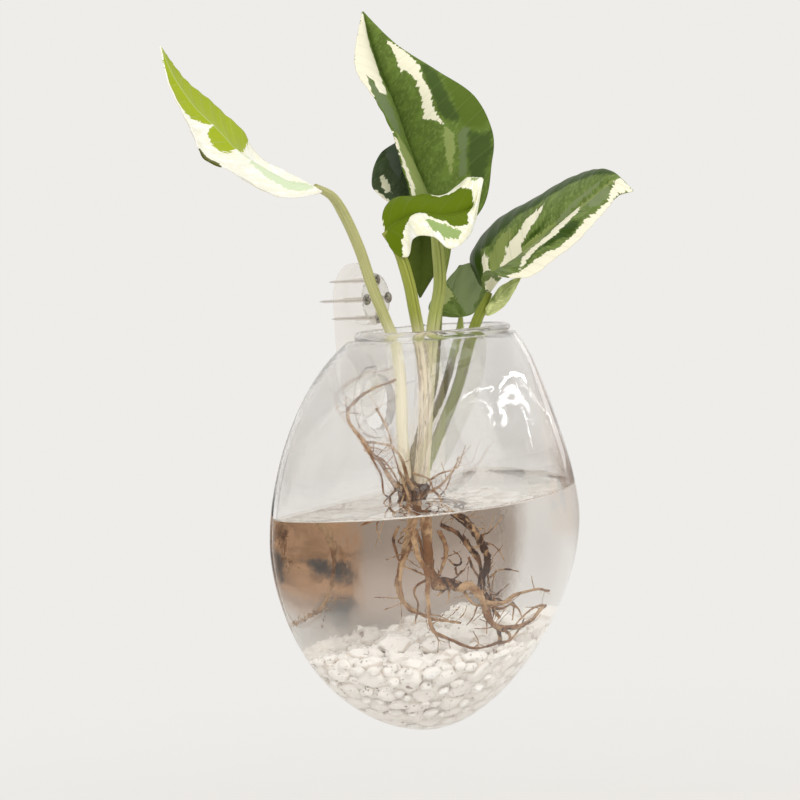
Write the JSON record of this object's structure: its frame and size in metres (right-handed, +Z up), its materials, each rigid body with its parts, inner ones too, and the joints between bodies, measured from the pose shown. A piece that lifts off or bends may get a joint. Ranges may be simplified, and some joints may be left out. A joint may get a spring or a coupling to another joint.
{
  "type": "hanging terrarium",
  "caption": "Clear glass wall vase with a flat back, hung by its eyelet on a plastic pin hook, holding pebbles, water and a rooted cutting with variegated leaves.",
  "frame": {"origin": "On the wall, behind the centre of the hook's pins.", "axes": "+Y points into the wall, -Y to the front, +Z up and +X to the right for someone facing the vase."},
  "size_m": [0.1918, 0.1186, 0.2632],
  "materials": {
    "clear_plastic": "clear moulded plastic",
    "pin_steel": "plain steel",
    "clear_glass": "clear blown glass",
    "water": null,
    "gravel": "pale washed gravel",
    "pebble": "smooth white pebble",
    "leaf_green": "waxy green and cream leaf",
    "leaf_dark_green": "waxy dark green leaf",
    "stalk": "smooth pale green stalk",
    "crown": "rough brown",
    "root": "matte tan"
  },
  "bodies": {
    "hook": {"hook_plate": "clear_plastic", "pin_top": "pin_steel", "pin_right": "pin_steel", "pin_bottom": "pin_steel", "pin_left": "pin_steel"},
    "vase": {"glass_vase": "clear_glass", "water": "water", "gravel_bed": "gravel", "pebble_01": "pebble", "pebble_02": "pebble", "pebble_03": "pebble", "pebble_04": "pebble", "pebble_05": "pebble", "pebble_06": "pebble", "pebble_07": "pebble", "pebble_08": "pebble", "pebble_09": "pebble", "pebble_10": "pebble", "pebble_11": "pebble", "pebble_12": "pebble", "pebble_13": "pebble", "pebble_14": "pebble", "pebble_15": "pebble", "pebble_16": "pebble", "pebble_17": "pebble", "pebble_18": "pebble", "pebble_19": "pebble", "pebble_20": "pebble"},
    "plant": {"root_crown": "crown", "leaf_upright": "leaf_green", "leaf_dark": "leaf_dark_green", "leaf_front": "leaf_green", "leaf_left": "leaf_green", "leaf_right": "leaf_green", "leaf_young": "leaf_green", "leaf_low": "leaf_dark_green", "stalk_left": "stalk", "stalk_front": "stalk", "stalk_upright": "stalk", "stalk_right": "stalk", "stalk_dark": "stalk", "stalk_low": "stalk", "root_loop": "root", "root_side": "root", "root_short": "root", "root_inner": "root", "root_fork": "root", "root_chain": "root", "root_main": "root", "root_lower": "root", "root_spur": "root"}
  },
  "joints": [
    {"name": "vase_lift_off", "type": "slide", "parent": "hook", "child": "vase", "axis": [0, -0.9063, 0.4226], "range_m": [0, 0.035]},
    {"name": "plant_lift_out", "type": "slide", "parent": "vase", "child": "plant", "axis": [0, 0, 1], "range_m": [0, 0.125], "deforming": ["root_loop", "root_side", "root_short", "root_inner", "root_fork", "root_chain", "root_main", "root_lower", "root_spur"]}
  ]
}
